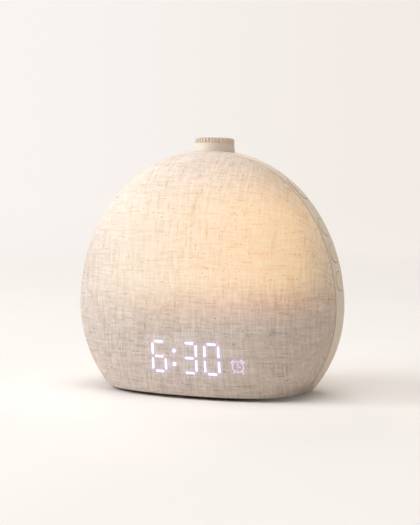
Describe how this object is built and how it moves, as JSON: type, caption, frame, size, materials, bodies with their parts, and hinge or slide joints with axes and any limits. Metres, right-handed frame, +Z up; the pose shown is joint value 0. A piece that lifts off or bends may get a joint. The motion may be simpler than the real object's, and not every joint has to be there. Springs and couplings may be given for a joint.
{
  "type": "sunrise alarm clock",
  "caption": "Pebble-shaped sunrise alarm clock: a linen front over a lamp and a lit digit display, a moulded rear housing, a push-and-turn knob on the crown and side buttons.",
  "frame": {"origin": "on the table, under the knob and on the plane of the seam; the base pad stands on it", "axes": "+X to the right of a person looking at the linen front, +Y to the back, +Z up"},
  "size_m": [0.182, 0.0975, 0.1698],
  "materials": {
    "linen": "woven linen, unbleached",
    "diffuser": "translucent milky plastic",
    "shell": "fine matt texture",
    "dark_plastic": "matt",
    "white_plastic": "reflective white",
    "pad_rubber": "matt",
    "zinc_steel": "zinc plated",
    "circuit_board": "solder mask over glass fibre",
    "led_white": "phosphor lens",
    "light_guide": "clear acrylic, frosted",
    "chip_black": "moulded epoxy",
    "can_aluminium": "drawn can",
    "magnet": "ferrite, painted",
    "cone_paper": "pulp cone with rubber roll",
    "gasket_foam": "foam",
    "lead_sleeve": "silicone sleeve",
    "ribbon_film": "polyester film"
  },
  "bodies": {
    "clock": {"fabric_cover": "linen", "diffuser_shell": "diffuser", "hem_frame": "dark_plastic", "rear_housing": "shell", "base_plate": "dark_plastic", "base_pad": "pad_rubber", "base_screws": "zinc_steel", "case_screws": "zinc_steel", "encoder_body": "zinc_steel", "encoder_base": "dark_plastic", "encoder_board": "circuit_board", "encoder_washer": "zinc_steel", "encoder_nut": "zinc_steel", "side_switches": "chip_black", "button_board": "circuit_board", "button_board_screws": "zinc_steel", "reflector_dish": "white_plastic", "light_board": "circuit_board", "light_board_screws": "zinc_steel", "light_leds": "led_white", "display_mask": "chip_black", "segment_guides": "light_guide", "icon_guide": "light_guide", "display_board": "circuit_board", "light_shelf": "white_plastic", "display_screws": "zinc_steel", "shelf_screws": "zinc_steel", "inner_leads": "lead_sleeve", "display_ribbon": "ribbon_film", "speaker_basket": "zinc_steel", "speaker_magnet": "magnet", "speaker_cone": "cone_paper", "speaker_gasket": "gasket_foam", "speaker_screws": "zinc_steel", "main_board": "circuit_board", "main_board_screws": "zinc_steel", "controller_chip": "chip_black", "amplifier_chip": "chip_black", "board_connectors": "white_plastic", "capacitors": "can_aluminium", "cell_holder": "chip_black", "backup_cell": "zinc_steel", "power_board": "circuit_board", "power_board_screws": "zinc_steel", "usb_socket": "zinc_steel", "usb_tongue": "chip_black"},
    "knob_push": {"encoder_plunger": "dark_plastic"},
    "knob_turn": {"knob": "shell", "encoder_shaft": "zinc_steel"},
    "snooze_push": {"snooze_button": "shell", "snooze_plunger": "chip_black"},
    "dimmer_push": {"dimmer_button": "shell", "dimmer_plunger": "chip_black"},
    "sound_push": {"sound_button": "shell", "sound_plunger": "chip_black"},
    "alarm_push": {"alarm_button": "shell", "alarm_plunger": "chip_black"}
  },
  "joints": [
    {"name": "knob_press", "type": "slide", "parent": "clock", "child": "knob_push", "axis": [0, -0.0576, -0.9983], "range_m": [0, 0.0005], "stiffness_N_per_m": 6000, "springref_m": -0.0005},
    {"name": "knob_spin", "type": "hinge", "parent": "knob_push", "child": "knob_turn", "pos_m": [0, 0.0049, 0.16097], "axis": [0, 0.0576, 0.9983], "continuous": true},
    {"name": "snooze_press", "type": "slide", "parent": "clock", "child": "snooze_push", "axis": [-0.6938, 0, -0.7202], "range_m": [0, 0.0006], "stiffness_N_per_m": 4000, "springref_m": -0.0003},
    {"name": "dimmer_press", "type": "slide", "parent": "clock", "child": "dimmer_push", "axis": [-0.8817, 0, -0.4718], "range_m": [0, 0.0006], "stiffness_N_per_m": 4000, "springref_m": -0.0003},
    {"name": "sound_press", "type": "slide", "parent": "clock", "child": "sound_push", "axis": [-0.9485, 0, -0.3167], "range_m": [0, 0.0006], "stiffness_N_per_m": 4000, "springref_m": -0.0003},
    {"name": "alarm_press", "type": "slide", "parent": "clock", "child": "alarm_push", "axis": [-0.9876, 0, -0.157], "range_m": [0, 0.0006], "stiffness_N_per_m": 4000, "springref_m": -0.0003}
  ]
}
